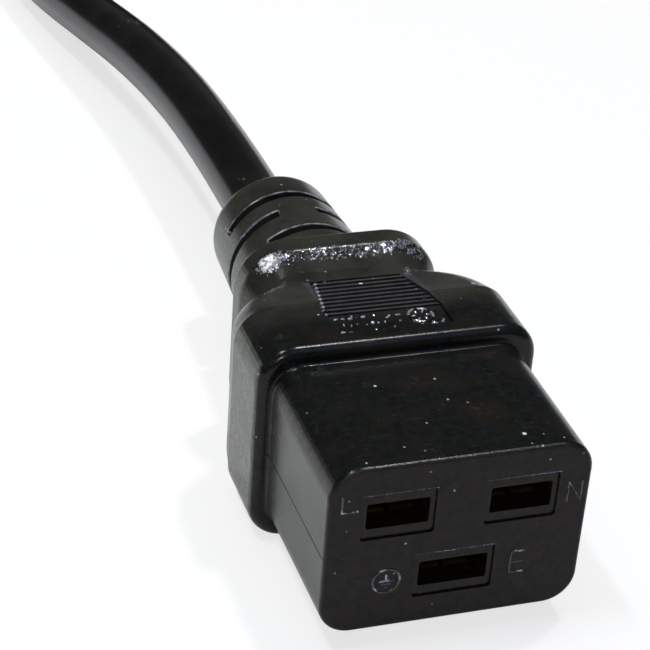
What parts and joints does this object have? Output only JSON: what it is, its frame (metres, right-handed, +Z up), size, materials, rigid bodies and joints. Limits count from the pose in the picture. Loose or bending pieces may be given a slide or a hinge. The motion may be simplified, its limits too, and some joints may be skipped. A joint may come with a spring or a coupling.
{
  "type": "c19 power connector",
  "caption": "Moulded high-current appliance connector with recessed flat contacts and slotted strain relief, on a mains cord that ends in a matching shrouded plug.",
  "frame": {"origin": "centre of the connector's mating face, between the contact openings", "axes": "+Y back along the connector and its cord, +X towards the neutral contact, +Z up, away from the surface it lies on"},
  "size_m": [0.0748, 0.3668, 0.024],
  "materials": {
    "moulding": "satin black moulded PVC, lightly scratched and dusty",
    "carrier": "fine matt black moulded insert",
    "contact": "tin-dulled brass strip",
    "copper": "bare copper strand",
    "pin": "nickel-plated brass",
    "core_live": "brown core insulation",
    "core_neutral": "blue core insulation",
    "core_earth": "green core insulation with a yellow stripe",
    "sheath": "smooth glossy black PVC sheath",
    "tie": "black woven hook and loop strap"
  },
  "bodies": {
    "root": {"housing": "moulding", "contact_carrier": "carrier", "carrier_cap": "carrier", "contact_live": "contact", "conductor_live": "copper", "insulation_live": "core_live", "contact_neutral": "contact", "conductor_neutral": "copper", "insulation_neutral": "core_neutral", "contact_earth": "contact", "conductor_earth": "copper", "insulation_earth": "core_earth", "sheath_end": "sheath", "power_cord": "sheath", "cord_hank": "sheath", "cord_tail": "sheath", "hank_tie_left": "tie", "hank_tie_right": "tie", "plug_housing": "moulding", "plug_pin_carrier": "carrier", "plug_sheath_end": "sheath", "plug_pin_live": "pin", "plug_conductor_live": "copper", "plug_insulation_live": "core_live", "plug_pin_neutral": "pin", "plug_conductor_neutral": "copper", "plug_insulation_neutral": "core_neutral", "plug_pin_earth": "pin", "plug_conductor_earth": "copper", "plug_insulation_earth": "core_earth"}
  },
  "joints": []
}
